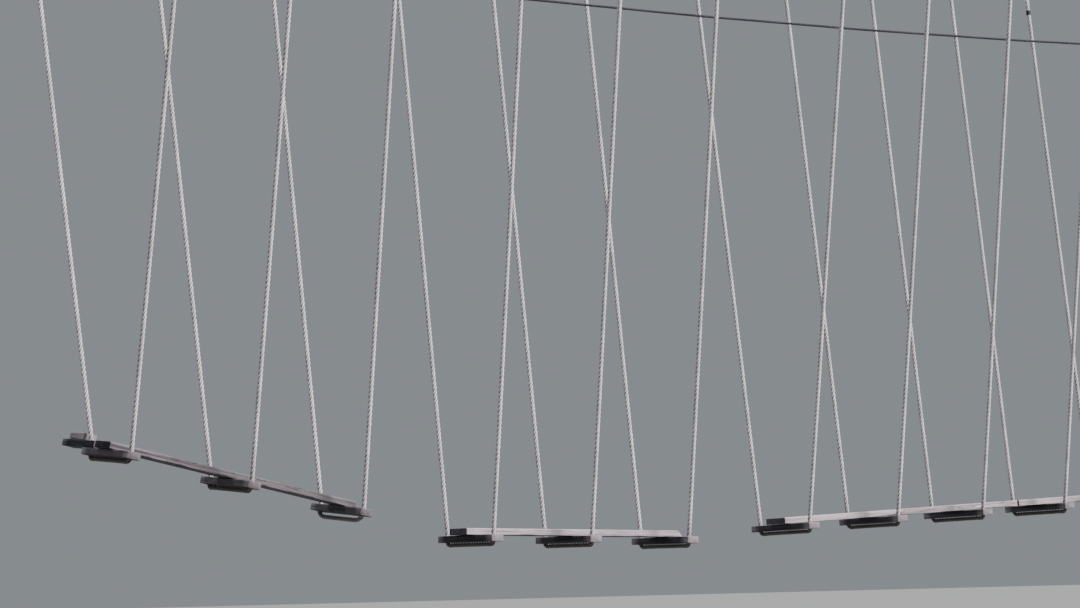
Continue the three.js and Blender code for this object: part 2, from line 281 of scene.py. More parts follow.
class CableSettings(bpy.types.PropertyGroup):
    diameter: length_prop("Main cable", "Diameter of the two main wire ropes", 0.012)
    safety: length_prop("Safety cable", "Diameter of the middle wire rope", 0.009)
    lay: number_prop("Lay length", "Length of one strand's turn, in diameters", 6.5)
    strands: IntProperty(name="Strands", description="Outer strands of the wire rope", default=6)
    ferrule: number_prop("Ferrule", "Pressed sleeve's diameter, in cables", 2.15)
    # The near-black steel tone is partly weathered wire and partly painted shade, as of a cable seen against
    # bright light.
    steel: colour_prop("Steel", "Dark weathered wire", 0.020, 0.025, 0.042)
    rust: colour_prop("Rust", "Rust bloom between the wires", 0.12, 0.050, 0.022)
    sleeve: colour_prop("Sleeve", "Pressed aluminium sleeve", 0.52, 0.53, 0.54)


class SteelSettings(bpy.types.PropertyGroup):
    zinc: colour_prop("Zinc", "Galvanised steel", 0.40, 0.415, 0.425)
    dull: colour_prop("Dull zinc", "Dull grains of the zinc's spangle", 0.24, 0.25, 0.26)
    edge_radius: length_prop("Edge radius", "Rounding of the bars' edges", 0.0012)
    tube_radius: length_prop("Tube corner", "Outer corner radius of the crossarm", 0.008)
    screw_diameter: length_prop("Screw head", "Diameter of the deck screws' heads", 0.010)
    bolt_size: length_prop("Bolt size", "Width of the ring plates' hex heads", 0.013)


class StageSettings(bpy.types.PropertyGroup):
    yaw: angle_prop("Yaw", "The camera's turn from +Y towards +X", 33.73)
    pitch: angle_prop("Pitch", "The camera's upward tilt", 4.98)
    roll: angle_prop("Roll", "The camera's turn about its own axis", -1.27)
    eye: FloatVectorProperty(name="Eye", description="The camera's place from the second deck",
                             default=(-6.079, -8.965, -0.160), subtype="TRANSLATION", unit="LENGTH", size=3)
    lens: number_prop("Lens", "Focal length on a 36 mm wide sensor, in mm", 107.4)
    drop: length_prop("Floor drop", "Height of the second deck above the floor", 0.95)
    floor: colour_prop("Floor", "Pale floor", 0.215, 0.22, 0.225)
    sky: colour_prop("Surround", "Plain studio surround", 0.25, 0.27, 0.29)
    ambient: number_prop("Ambient", "Share of the surround's light on the piece", 0.75)
    key: number_prop("Key light", "Strength of the soft sun from the front", 9.0)
    top: number_prop("Top light", "Strength of the soft sun from above", 1.6)
    spread: angle_prop("Light spread", "Angle that each light fills in the sky", 16)


# Node trees

class Flow:
    """One output of a node. Arithmetic on it adds nodes to its tree."""

    def __init__(self, socket):
        self.socket = socket
        self.tree = socket.id_data

    def __getitem__(self, name):
        """Another output of the same node."""
        return Flow(self.socket.node.outputs[name])

    def calc(self, operation, *others):
        return add(self.tree, "ShaderNodeMath", self, *others, operation=operation)

    def __add__(self, other):
        return self.calc("ADD", other)

    def __sub__(self, other):
        return self.calc("SUBTRACT", other)

    def __mul__(self, other):
        return self.calc("MULTIPLY", other)

    def __truediv__(self, other):
        return self.calc("DIVIDE", other)

    def vector(self, operation, *others):
        return add(self.tree, "ShaderNodeVectorMath", self, *others, operation=operation)

    def band(self, low, high, to_low=0.0, to_high=1.0):
        """A smooth step of the value from one number to another."""
        return add(self.tree, "ShaderNodeMapRange", self, low, high, to_low, to_high,
                   interpolation_type="SMOOTHSTEP")

    def mix(self, first, second):
        """A mix of two colours, with the value as the second one's share."""
        return add(self.tree, "ShaderNodeMix", self, first, second, data_type="RGBA")


def feed(node, *ordered, **named):
    """Sets or links a node's shown inputs, by order, and by name with underscores for spaces."""
    shown = [socket for socket in node.inputs if socket.enabled]
    pairs = list(zip(shown, ordered))
    for key, value in named.items():
        pairs.append((next(socket for socket in shown if socket.name == key.replace("_", " ")), value))
    for socket, value in pairs:
        if isinstance(value, Flow):
            node.id_data.links.new(value.socket, socket)
        elif value is not None:
            socket.default_value = (*value, 1.0) if socket.type == "RGBA" else value


def add(tree, kind, *ordered, **keys):
    """Adds a node and returns its first shown output.

    Keywords with a capital letter are inputs, and the others are the node's own settings.
    """
    made = tree.nodes.new(kind)
    for key, value in keys.items():
        if not key[0].isupper():
            setattr(made, key, value)
    feed(made, *ordered, **{key: value for key, value in keys.items() if key[0].isupper()})
    return Flow(next(socket for socket in made.outputs if socket.enabled))


def new_group(name, kind, inputs, outputs):
    """A node group and its two ends. A socket is given by its default, or by its kind as a word."""
    tree = bpy.data.node_groups.new(name, kind)
    kinds = {int: "Int", float: "Float", tuple: "Vector"}
    for in_out, sockets in (("INPUT", inputs), ("OUTPUT", outputs)):
        for key, default in sockets.items():
            shown, word = key.replace("_", " "), kinds.get(type(default), default)
            made = tree.interface.new_socket(shown, in_out=in_out, socket_type=f"NodeSocket{word}")
            if default is not word:
                made.default_value = default
    given = tree.nodes.new("NodeGroupInput")
    return tree, Flow(given.outputs[0]), tree.nodes.new("NodeGroupOutput")


def stored(geometry, name, value, kind="FLOAT"):
    """Keeps a value of each point of a geometry as an attribute."""
    return add(geometry.tree, "GeometryNodeStoreNamedAttribute", geometry, None, name, value,
               data_type=kind, domain="POINT")


def grown_tree(name, **inputs):
    """A geometry node tree for a modifier, with its own inputs between a geometry and a material."""
    inputs = {"Geometry": "Geometry", **inputs, "Material": "Material"}
    tree, take, end = new_group(name, "GeometryNodeTree", inputs, {"Geometry": "Geometry"})
    tree.is_modifier = True

    def finish(geometry):
        whole = add(tree, "GeometryNodeRealizeInstances", geometry)
        feed(end, add(tree, "GeometryNodeSetMaterial", whole, None, take["Material"]))
        return tree

    return tree, take, finish


def strand_tree():
    """Lays strands in a helix round each chain of points: rope, wire rope, tucks and whipping."""
    tree, take, finish = grown_tree(
        "laid_strands", Strands=3, Strand_Radius=3.7 * MM, Helix_Radius=3.8 * MM, Lay_Pitch=47 * MM,
        Step=5 * MM, Sides=7, Side=(1.0, 0.0, 0.0), Taper=1.0, Weave=0.0, Weave_Pitch=47 * MM, Uneven=0.0)
    line = add(tree, "GeometryNodeMeshToCurve", take["Geometry"])
    line = add(tree, "GeometryNodeResampleCurve", line, Length=take["Step"], mode="LENGTH")
    spline = add(tree, "GeometryNodeSplineParameter")
    length = spline["Length"]
    place = add(tree, "GeometryNodeInputPosition")
    line = stored(stored(line, "along", length), "centre", place, "FLOAT_VECTOR")
    copies = add(tree, "GeometryNodeDuplicateElements", line, None, take["Strands"], domain="SPLINE")
    index = copies["Duplicate Index"]
    phase = (length / take["Lay Pitch"] + index / take["Strands"]) * math.tau
    swell = add(tree, "ShaderNodeTexNoise", add(tree, "ShaderNodeCombineXYZ", length, index), 55.0, 2.0)
    taper = (take["Taper"] - 1.0).calc("MULTIPLY_ADD", spline["Factor"], 1.0)
    taper = taper + (swell - 0.5) * take["Uneven"]
    under = length / take["Weave Pitch"] * math.tau
    over = ((phase - under) * 1.5).calc("COSINE")
    radius = over.calc("MULTIPLY_ADD", take["Weave"], take["Helix Radius"] * taper)
    tangent = add(tree, "GeometryNodeInputTangent")
    across = tangent.vector("CROSS_PRODUCT", take["Side"]).vector("NORMALIZE")
    upward = across.vector("CROSS_PRODUCT", tangent)
    rise = upward.vector("SCALE", phase.calc("COSINE") * radius)
    offset = rise.vector("ADD", across.vector("SCALE", phase.calc("SINE") * radius))
    helix = add(tree, "GeometryNodeSetPosition", copies, Offset=offset)
    ring = add(tree, "GeometryNodeCurvePrimitiveCircle", take["Sides"], take["Strand Radius"], mode="RADIUS")
    ring = stored(ring, "around", place.vector("NORMALIZE"), "FLOAT_VECTOR")
    swept = add(tree, "GeometryNodeCurveToMesh", helix, ring, taper, True)
    centre = add(tree, "GeometryNodeInputNamedAttribute", "centre", data_type="FLOAT_VECTOR")
    # rise is each point's distance from its line's centre; the rope material uses it to paint shade between
    # the strands.
    swept = stored(swept, "rise", place.vector("DISTANCE", centre))
    swept = add(tree, "GeometryNodeRemoveAttribute", swept, "centre")
    return finish(add(tree, "GeometryNodeSetShadeSmooth", swept, None, True))


def seat_tree():
    """Sets a copy of one small piece on each point, along the point's aim and turned at random."""
    tree, take, finish = grown_tree("seated_pieces", Piece="Object", Spin=math.tau, Seed=3)
    piece = add(tree, "GeometryNodeObjectInfo", take["Piece"], transform_space="ORIGINAL")["Geometry"]
    aim = add(tree, "GeometryNodeInputNamedAttribute", "aim", data_type="FLOAT_VECTOR")
    facing = add(tree, "FunctionNodeAlignRotationToVector", None, 1.0, aim, axis="Z")
    chance = add(tree, "FunctionNodeRandomValue", 0.0, take["Spin"], Seed=take["Seed"], data_type="FLOAT")
    spun = add(tree, "FunctionNodeAxisAngleToRotation", (0.0, 0.0, 1.0), chance)
    turn = add(tree, "FunctionNodeRotateRotation", facing, spun, rotation_space="LOCAL")
    points = add(tree, "GeometryNodeMeshToPoints", take["Geometry"])
    return finish(add(tree, "GeometryNodeInstanceOnPoints", points, Instance=piece, Rotation=turn))


# Meshes

def heading(angle):
    """A direction in a plane."""
    return Vector((math.cos(angle), math.sin(angle)))


def rows(items, key):
    """A vector of every vertex or face, as an array of rows."""
    found = np.zeros(len(items) * 3, np.float32)
    items.foreach_get(key, found)
    return found.reshape(-1, 3)


def store(mesh, name, values, domain="POINT"):
    """Writes numbers, or vectors, to an attribute of a mesh."""
    flat = np.asarray(values, np.float32)
    kind, key = ("FLOAT", "value") if flat.ndim == 1 else ("FLOAT_VECTOR", "vector")
    attribute = mesh.attributes.get(name) or mesh.attributes.new(name, kind, domain)
    attribute.data.foreach_set(key, flat.ravel())


def linked(name, data):
    made = bpy.data.objects.new(name, data)
    bpy.context.scene.collection.objects.link(made)
    return made


def settled(piece):
    """Turns what a piece's modifiers make of it into its own plain mesh."""
    graph = bpy.context.evaluated_depsgraph_get()
    plain = bpy.data.meshes.new_from_object(piece.evaluated_get(graph), preserve_all_data_layers=True,
                                            depsgraph=graph)
    piece.modifiers.clear()
    old, piece.data = piece.data, plain
    bpy.data.meshes.remove(old)
    plain.name = piece.name
    return piece


def grown(name, tree_name, mesh, values):
    """Runs a geometry node tree over a mesh, with inputs by name."""
    made = linked(name, mesh)
    modifier = made.modifiers.new("grown", "NODES")
    modifier.node_group = tree = shared(tree_name)
    sockets = {item.name: item.identifier for item in tree.interface.items_tree if item.in_out == "INPUT"}
    for key, value in values.items():
        modifier[sockets[key]] = value
    return settled(made)


def laid(name, points, values):
    """Strands laid along one chain of points."""
    mesh = bpy.data.meshes.new(name)
    mesh.from_pydata([tuple(point) for point in points], [(i, i + 1) for i in range(len(points) - 1)], [])
    return grown(name, "laid_strands", mesh, values)


def seated(name, piece, places, spin=math.tau):
    """Zinc-coated copies of a small piece, each at a place and along an aim."""
    mesh = bpy.data.meshes.new(name)
    mesh.from_pydata([tuple(place) for place, _ in places], [], [])
    store(mesh, "aim", [tuple(aim) for _, aim in places])
    values = {"Piece": piece, "Material": shared("zinc_coating"), "Spin": spin}
    return grown(name, "seated_pieces", mesh, values)


def sharpened(mesh, angle):
    mesh.shade_smooth()
    mesh.set_sharp_from_angle(angle=angle)


def solid(name, look, bm, angle=STEEL_SHARP):
    """An object from a closed bmesh, with its faces outward and its hard edges sharp."""
    bmesh.ops.remove_doubles(bm, verts=bm.verts, dist=0.001 * MM)
    bmesh.ops.recalc_face_normals(bm, faces=bm.faces)
    mesh = bpy.data.meshes.new(name)
    bm.to_mesh(mesh)
    bm.free()
    mesh.materials.append(shared(look))
    sharpened(mesh, angle)
    return linked(name, mesh)


def lofted(name, look, *shells, closed=False, angle=STEEL_SHARP):
    """A solid whose faces join each ring of points to the next. A ring of one point is a pole."""
    bm = bmesh.new()
    for shell in shells:
        rings = [[bm.verts.new(point) for point in ring] for ring in shell]
        count = max(len(ring) for ring in rings)
        for low, high in zip(rings, rings[1:] + (rings[:1] if closed else [])):
            for i in range(count):
                j = (i + 1) % count
                corners = (low[i % len(low)], low[j % len(low)], high[j % len(high)], high[i % len(high)])
                face = list(dict.fromkeys(corners))
                if len(face) > 2:
                    bm.faces.new(face)
    return solid(name, look, bm, angle)


def turned(profile, base, axis, sides):
    """Rings of a closed turned shape: (radius, height) pairs from the axis back to the axis."""
    turn = axis.to_track_quat("Z", "Y").to_matrix()
    rings = []
    for radius, height in profile:
        angles = [math.tau * i / sides for i in range(sides if radius else 1)]
        spokes = [Vector((radius * math.cos(angle), radius * math.sin(angle), height)) for angle in angles]
        rings.append([base + turn @ spoke for spoke in spokes])
    return rings


def block(name, size, middle, radius=0.0):
    """A zinc-coated block, with its edges rounded where a radius is given."""
    bm = bmesh.new()
    bmesh.ops.create_cube(bm, size=1.0, matrix=Matrix.Translation(middle) @ Matrix.Diagonal((*size, 1)))
    if radius:
        bmesh.ops.bevel(bm, geom=list(bm.edges), offset=radius, segments=3, affect="EDGES", profile=0.5)
    return solid(name, "zinc_coating", bm)


def joined(name, pieces):
    """One object from several, which are used up."""
    with bpy.context.temp_override(active_object=pieces[0], object=pieces[0],
                                   selected_editable_objects=pieces, selected_objects=pieces):
        bpy.ops.object.join()
    pieces[0].name = name
    pieces[0].data.name = name
    return pieces[0]


def cut(piece, cutters, angle=STEEL_SHARP):
    """Takes the cutters away from a piece with exact booleans and removes them."""
    for cutter in cutters:
        modifier = piece.modifiers.new("cut", "BOOLEAN")
        modifier.operation = "DIFFERENCE"
        modifier.solver = "EXACT"
        modifier.object = cutter
    sharpened(settled(piece).data, angle)
    for cutter in cutters:
        bpy.data.objects.remove(cutter)
    return piece


def own(piece, body, slot, *nodes):
    """Rides a finished piece on its body and hides the solids it stands in for."""
    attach(piece, body)
    if nodes:
        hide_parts(*nodes)


# Boards

class Notch(NamedTuple):
    """A drying check: where it crosses the section, which way is out, and where along it runs."""

    spot: Vector
    out: Vector
    start: float
    stop: float
    depth: float


def board_notches(chance, start, stop, half, deep):
    """Checks at random: three on top, two below and one on each side, each from one end."""
    notches = []
    for out, count in (((0, 1), 3), ((0, -1), 2), ((-1, 0), 1), ((1, 0), 1)):
        for i in range(count):
            if out[0]:
                spot = Vector((out[0] * half, chance.uniform(-0.45, 0.45) * deep))
            else:
                across = (i + chance.uniform(0.3, 0.7)) / count * 1.7 - 0.85
                spot = Vector((across * half, out[1] * deep))
            from_start = chance.random() < 0.5
            reach = chance.uniform(0.18, 0.42) * (stop - start)
            first = start - 10 * MM if from_start else stop + 10 * MM - reach
            depth = chance.uniform(*CHECK_DEPTH) * (0.6 if out[0] else 1.0)
            notches.append(Notch(spot, Vector(out), first, first + reach, depth))
    return notches


def board_section(half, deep, notches):
    """Points round a board's section with their outward directions and the check each belongs to."""
    points = []
    for quarter in range(4):
        start = (quarter + 1) * math.pi / 2
        out = Vector((round(math.cos(start)), round(math.sin(start))))
        along = Vector((-out.y, out.x))
        centre = Vector(((out + along).x * (half - CORNER_RADIUS), (out + along).y * (deep - CORNER_RADIUS)))
        last = centre + out * CORNER_RADIUS
        run = along * 2 * abs(centre.dot(along))
        first = last - run
        count = max(3, round(run.length / POINT_SPACING))
        marks = [(first + run * (i / count), out, None, False) for i in range(count + 1)]
        for notch in notches:
            if notch.out.dot(out) > 0.9:
                at = (notch.spot - first).dot(along)
                marks = [mark for mark in marks if abs((mark[0] - first).dot(along) - at) > 2.2 * CHECK_MOUTH]
                for shift in (-CHECK_MOUTH, 0, CHECK_MOUTH):
                    marks.append((first + along * (at + shift), out, notch, shift == 0))
        points += sorted(marks, key=lambda mark: (mark[0] - first).dot(run))
        for share in (1 / 3, 2 / 3):
            direction = heading(start + share * math.pi / 2)
            points.append((centre + direction * CORNER_RADIUS, direction, None, False))
    return points


def board(name, span, width, thick, seed, slant=0.0, wear=1.0, worn=0.0):
    """A weathered board along X, centred on its width and thickness, with worn edges and checks."""
    start, stop = span
    length = stop - start
    notches = board_notches(random.Random(seed), start, stop, width / 2, thick / 2)
    section = board_section(width / 2, thick / 2, notches)
    inner = max(4, round((length - 2 * SAWN_LIP) / STATION_SPACING))
    lips = ((0, 0.8), (0.35, 0.3))
    stations = [(start + SAWN_LIP * share, SAWN_LIP * shrink) for share, shrink in lips]
    stations += [(start + SAWN_LIP + (length - 2 * SAWN_LIP) * i / inner, 0.0) for i in range(inner + 1)]
    stations += [(stop - SAWN_LIP * share, SAWN_LIP * shrink) for share, shrink in reversed(lips)]
    shift = Vector((seed * 3.17, seed * 1.31, seed * 0.77))
    rings = []
    for place, shrink in stations:
        ring = []
        for spot, out, notch, deepest in section:
            inward = shrink + 0.22 * MM * (1 + noise(Vector((place * 7, spot.x * 38, spot.y * 38)) + shift))
            if abs(out.x * out.y) > 0.1:
                bite = noise(Vector((place * 14, spot.x * 30, spot.y * 30)) + shift * 2)
                inward += wear * WEAR_DEPTH * max(0.0, bite)
            point = spot - out * inward
            if notch:
                drift = 1.6 * MM * noise(Vector((place * 5, notch.spot.x * 50, seed)))
                point += Vector((-out.y, out.x)) * drift
                share = (place - notch.start) / (notch.stop - notch.start)
                if deepest and 0 < share < 1:
                    rough = 0.75 + 0.25 * noise(Vector((place * 60, notch.spot.x * 90, seed)))
                    point -= out * notch.depth * math.sin(math.pi * share) ** 0.6 * rough
            along = place - slant * (spot.x / width + 0.5) * (place - start) / length
            along -= max(0.0, 1 - (stop - place) / WORN_REACH) ** 2 * worn * (spot.y / thick + 0.5)
            if min(place - start, stop - place) < SAWN_LIP:
                along += 0.5 * MM * noise(Vector((spot.x * 120, spot.y * 90, place)) + shift)
            ring.append(Vector((along, point.x, point.y)))
        rings.append(ring)
    poles = [[sum(ring, Vector()) / len(ring)] for ring in (rings[0], rings[-1])]
    return lofted(name, "silvered_wood", [poles[0], *rings, poles[1]], angle=WOOD_SHARP)


def eased(value, low, high):
    share = np.clip((value - low) / (high - low), 0, 1)
    return share * share * (3 - 2 * share)


def mark_board(piece, width, thick, seed, damp):
    """Stores the board's own coordinates, its end grain, its worn edges, and where its faces get wet staining
    and painted shade.
    """
    mesh = piece.data
    spots = rows(mesh.vertices, "co")
    store(mesh, "grain", spots + np.array((seed * 1.93, seed * 0.37, seed * 0.21)))
    edge = 1.0
    for axis, size in ((1, width), (2, thick)):
        edge = edge * eased(np.abs(spots[:, axis]), size / 2 - EDGE_BAND, size / 2 - 0.3 * MM)
    store(mesh, "edge", edge)
    store(mesh, "damp", damp(spots, rows(mesh.vertices, "normal")))
    store(mesh, "end", np.abs(rows(mesh.polygons, "normal")[:, 0]) > 0.75, "FACE")


def plank_damp_and_shade(base):
    """A plank gets wet staining and painted shade underneath and on its end towards the start, and a shaded
    one gets painted shade all over.
    """
    def damp(spots, normals):
        under = eased(-normals[:, 2], 0.3, 0.8)
        return np.clip(base + under + 0.75 * eased(-normals[:, 0], 0.4, 0.9), 0, 1)
    return damp


def crosspiece_damp_and_shade(reach, base, shade):
    """A crosspiece gets wet staining and painted shade underneath and on its face towards the start, less so
    at its ends.
    """
    def damp(spots, normals):
        under = eased(-normals[:, 2], 0.3, 0.8)
        back = eased(normals[:, 1], 0.3, 0.8)
        # The ends get less painted shade and staining than the middle.
        dry_unshaded_end = eased(np.abs(spots[:, 0]), reach - 45 * MM, reach - 12 * MM)
        return np.clip(under + back * (shade - 0.5 * dry_unshaded_end) + base * (1 - back), 0, 1)
    return damp


def hole_cutter(name, place, thick, diameter, aside=0.0):
    """A drill for a rope hole, flared at both faces as the rope has worn them."""
    radius, face, past = diameter / 2, thick / 2, 4 * MM
    wide = radius + HOLE_FLARE
    upper = [(radius, face - FLARE_DEPTH), (radius + HOLE_FLARE * 0.35, face - FLARE_DEPTH * 0.5),
             (wide, face + 0.1 * MM), (wide + past, face + past), (0, face + past)]
    profile = [(across, -height) for across, height in reversed(upper)] + upper
    return lofted(name, "silvered_wood", turned(profile, Vector((place, aside, 0)), Z_AXIS, 32))


# Rope and cable lines

def softened(points, reach):
    """Rounds the corners of a chain of points with short curves."""
    smooth = [points[0]]
    for before, here, after in zip(points, points[1:], points[2:]):
        back, on = before - here, after - here
        if back.angle(-on) < math.radians(4):
            smooth.append(here)
            continue
        first = here + back.normalized() * min(reach, back.length * 0.45)
        last = here + on.normalized() * min(reach, on.length * 0.45)
        for share in (0, 0.25, 0.5, 0.75, 1):
            smooth.append(first.lerp(here, share).lerp(here.lerp(last, share), share))
    return smooth + [points[-1]]


def eye_line(centre, along, side, radius, throat, steps=22):
    """A teardrop eye: out along one leg from the throat, round, and back along the other."""
    start = math.acos(radius / (centre - throat).length)
    line = [throat.copy()]
    for i in range(steps + 1):
        turn = start + (math.tau - 2 * start) * i / steps
        line.append(centre + along * (radius * math.cos(turn)) + side * (radius * math.sin(turn)))
    return line + [throat.copy()]


def under_board(boards, rope, belly):
    """The rope's bend out of a hole into the run below, as (y, z) pairs of the board's own frame."""
    edge = TURN_RADIUS - boards.hole_diameter / 2
    bearing = (TURN_RADIUS - rope.diameter / 2) * math.cos(belly.turn / TURN_STEPS / 2) - GAP
    centre_z = -boards.cross_thick + math.sqrt(bearing ** 2 - edge ** 2)
    hole = boards.hole_spacing / 2
    line = [(hole, 2 * MM)]
    for i in range(7):
        turn = belly.turn * i / 6
        line.append((hole - TURN_RADIUS * (1 - math.cos(turn)), centre_z - TURN_RADIUS * math.sin(turn)))
    corner_y, corner_z = line[-1]
    left = math.pi / 2 - belly.turn
    for i in range(1, 5):
        turn = left * (1 - i / 4)
        line.append((corner_y - belly.radius * (math.sin(left) - math.sin(turn)),
                     corner_z - belly.radius * (math.cos(turn) - math.cos(left))))
    return line + [(hole - LIFT_INSET, line[-1][1] + belly.lift)]


class Leg(NamedTuple):
    """One side of a rope loop: its bends at the board, its eye, its throat and its direction down."""

    bends: list
    eye: list
    throat: Vector
    down: Vector


def rope_leg(deck, along, side, scene, belly):
    rope = scene.footbridge_ropes
    line = under_board(scene.footbridge_boards, rope, belly)
    bends = [deck.matrix @ Vector((along, side * y, z)) for y, z in line]
    cable = deck.cable_over(along, side)
    down = (bends[0] - cable).normalized()
    run = (deck.cable_over(1.0, side) - deck.cable_over(0.0, side)).normalized()
    radii = scene.footbridge_cables.diameter / 2 + rope.diameter / 2
    centre = cable + down * (EYE_RADIUS - (radii + GAP) / math.sqrt(1 - run.dot(down) ** 2))
    throat = centre + down * EYE_LENGTH
    eye = eye_line(centre, down, down.cross(X_AXIS).normalized(), EYE_RADIUS, throat)
    return Leg(bends, eye, throat, down)


def cable_knots(line):
    """The points that a cable runs through, ring to ring."""
    first, last = (end.ring(line) for end in ENDS)
    if line == "middle":
        steps = [first.x + (last.x - first.x) * i / SAFETY_STEPS for i in range(1, SAFETY_STEPS)]
        return [first, *(Vector((x, 0, safety_height(x))) for x in steps), last]
    knots = []
    for deck in DECKS:
        for place in (deck.places[0] - KNEE_REACH, deck.places[-1] + KNEE_REACH):
            knots.append(deck.cable_over(place, LINES[line]))
    return [first, *knots, last]


def cable_end(ring, toward, radius):
    """The eye and throat of a cable at a ring, and its direction there."""
    along = (toward - ring).normalized()
    start = math.acos(THIMBLE_RADIUS / THIMBLE_LENGTH)
    reach = THIMBLE_RADIUS * math.cos((math.pi - start) / THIMBLE_STEPS)
    centre = ring + along * (RING_RADIUS + reach - (radius + RING_ROD + GAP))
    throat = centre + along * THIMBLE_LENGTH
    return eye_line(centre, along, along.cross(Z_AXIS).normalized(), THIMBLE_RADIUS, throat), throat, along


# Materials

def new_material(name):
    material = bpy.data.materials.new(name)
    material.use_nodes = True
    tree = material.node_tree
    return material, tree, tree.nodes["Principled BSDF"]


def attribute(tree, name):
    return add(tree, "ShaderNodeAttribute", attribute_name=name, attribute_type="GEOMETRY")


def bump(height, strength, distance):
    return add(height.tree, "ShaderNodeBump", strength, distance, Height=height)


def patches_group():
    """Weather: broad dull patches and small specks, in metres."""
    inputs = {"Place": "Vector", "Patch_Scale": 6.0, "Speck_Scale": 160.0}
    outputs = {"Patch": "Float", "Speck": "Float"}
    tree, take, end = new_group("weather_patches", "ShaderNodeTree", inputs, outputs)
    broad = add(tree, "ShaderNodeTexNoise", take["Place"], take["Patch Scale"], 4.0, 0.6)
    small = add(tree, "ShaderNodeTexNoise", take["Place"], take["Speck Scale"], 2.0, 0.5)
    feed(end, broad.band(0.42, 0.62), small.band(0.58, 0.70))
    return tree


def grain_group():
    """Sawn softwood along X: streaks, raised fibres, drying checks, knots and end rings."""
    inputs = {"Grain": "Vector", "Check_Width": 0.012}
    outputs = dict.fromkeys(("Streak", "Fibre", "Check", "Knot", "Ring", "Height"), "Float")
    tree, take, end = new_group("long_grain", "ShaderNodeTree", inputs, outputs)
    grain = take["Grain"]

    def stretched(scale, detail, distortion=0.0):
        place = grain.vector("MULTIPLY", scale)
        return add(tree, "ShaderNodeTexNoise", place, 1.0, detail, 0.6, Distortion=distortion)

    streak = stretched((2.4, 62.0, 62.0), 5.0, 0.5).band(0.34, 0.68)
    fibre = stretched((20.0, 900.0, 900.0), 2.0)
    line = (stretched((3.2, 105.0, 80.0), 2.0) - 0.5).calc("ABSOLUTE")
    narrow = add(tree, "ShaderNodeMapRange", line, 0.0, take["Check Width"], 1.0, 0.0)
    check = narrow * stretched((1.7, 14.0, 14.0), 1.0).band(0.50, 0.58)
    cells = add(tree, "ShaderNodeTexVoronoi", grain.vector("MULTIPLY", (2.6, 10.0, 10.0)), Scale=1.0)
    chosen = add(tree, "ShaderNodeSeparateColor", cells["Color"]).calc("GREATER_THAN", 0.6)
    knot = cells["Distance"].band(0.15, 0.07) * chosen
    across = grain.vector("FRACTION").vector("MULTIPLY", (0.0, 1.0, 1.0))
    ring = (across.vector("LENGTH") * 1900.0).calc("SINE").calc("MULTIPLY_ADD", 0.5, 0.5)
    height = check.calc("MULTIPLY_ADD", -1.6, streak.calc("MULTIPLY_ADD", 0.45, fibre * 0.5))
    feed(end, streak, fibre, check, knot, ring, height)
    return tree


def twist_group():
    """Fine yarns or wires twisted round a strand, from its along and around attributes."""
    inputs = {"Along": "Float", "Around": "Vector", "Count": 9.0, "Twist": 30.0}
    outputs = {"Crest": "Float", "Fuzz": "Float"}
    tree, take, end = new_group("twisted_yarns", "ShaderNodeTree", inputs, outputs)
    parts = add(tree, "ShaderNodeSeparateXYZ", take["Around"])
    angle = parts["Y"].calc("ARCTAN2", parts["X"]) * take["Count"]
    phase = angle + take["Along"] * take["Twist"] * math.tau
    hair = add(tree, "ShaderNodeCombineXYZ", phase * 1.7, take["Along"] * 130.0)
    crest = (phase * 0.5).calc("SINE").calc("ABSOLUTE")
    feed(end, crest, add(tree, "ShaderNodeTexNoise", hair, 1.0, 3.0, 0.7))
    return tree


def use(tree, name, **values):
    """Places a shared shader group, with its inputs by name."""
    return add(tree, "ShaderNodeGroup", node_tree=shared(name), **values)


def yarns(tree, count, twist):
    along, around = attribute(tree, "along")["Fac"], attribute(tree, "around")["Vector"]
    return use(tree, "twisted_yarns", Along=along, Around=around, Count=count, Twist=twist)


def weather(tree, patch_scale, speck_scale, place=None):
    place = place or add(tree, "ShaderNodeTexCoord")["Object"]
    return use(tree, "weather_patches", Place=place, Patch_Scale=patch_scale, Speck_Scale=speck_scale)


def board_material():
    boards = bpy.context.scene.footbridge_boards
    material, tree, shader = new_material("silvered_wood")
    grain = attribute(tree, "grain")["Vector"]
    marks = use(tree, "long_grain", Grain=grain)
    spots = weather(tree, 7.0, 190.0, grain)
    edge, end_face, damp = (attribute(tree, name)["Fac"] for name in ("edge", "end", "damp"))
    long_face = end_face.calc("MULTIPLY_ADD", -0.9, 1.0)
    tone = marks["Streak"].mix(boards.pale, boards.grey)
    tone = tone.vector("SCALE", marks["Fibre"].band(0.35, 0.65, 0.72, 1.18))
    tone = (spots["Patch"] * 0.45).mix(tone, boards.grey)
    tone = (edge * 0.45).mix(tone, boards.pale * 1.35)
    end_tone = (marks["Ring"] * 0.5).mix(boards.grey, boards.grey * 0.55)
    tone = (end_face * 0.7).mix(tone, end_tone)
    # Painted shade, partly wet staining: undersides and faces towards the start go dark towards the slate
    # tone.
    tone = (damp * marks["Streak"].band(0.0, 1.0, 0.90, 1.0)).mix(tone, boards.shaded_slate)
    for share in (marks["Knot"] * 0.75, marks["Check"] * long_face, spots["Speck"] * 0.15):
        tone = share.mix(tone, boards.check)
    feed(shader, Base_Color=tone, Roughness=damp.band(0.0, 1.0, 0.88, 0.72), Specular_IOR_Level=0.25,
         Normal=bump(marks["Height"] * long_face, 0.85, 0.9 * MM))
    return material


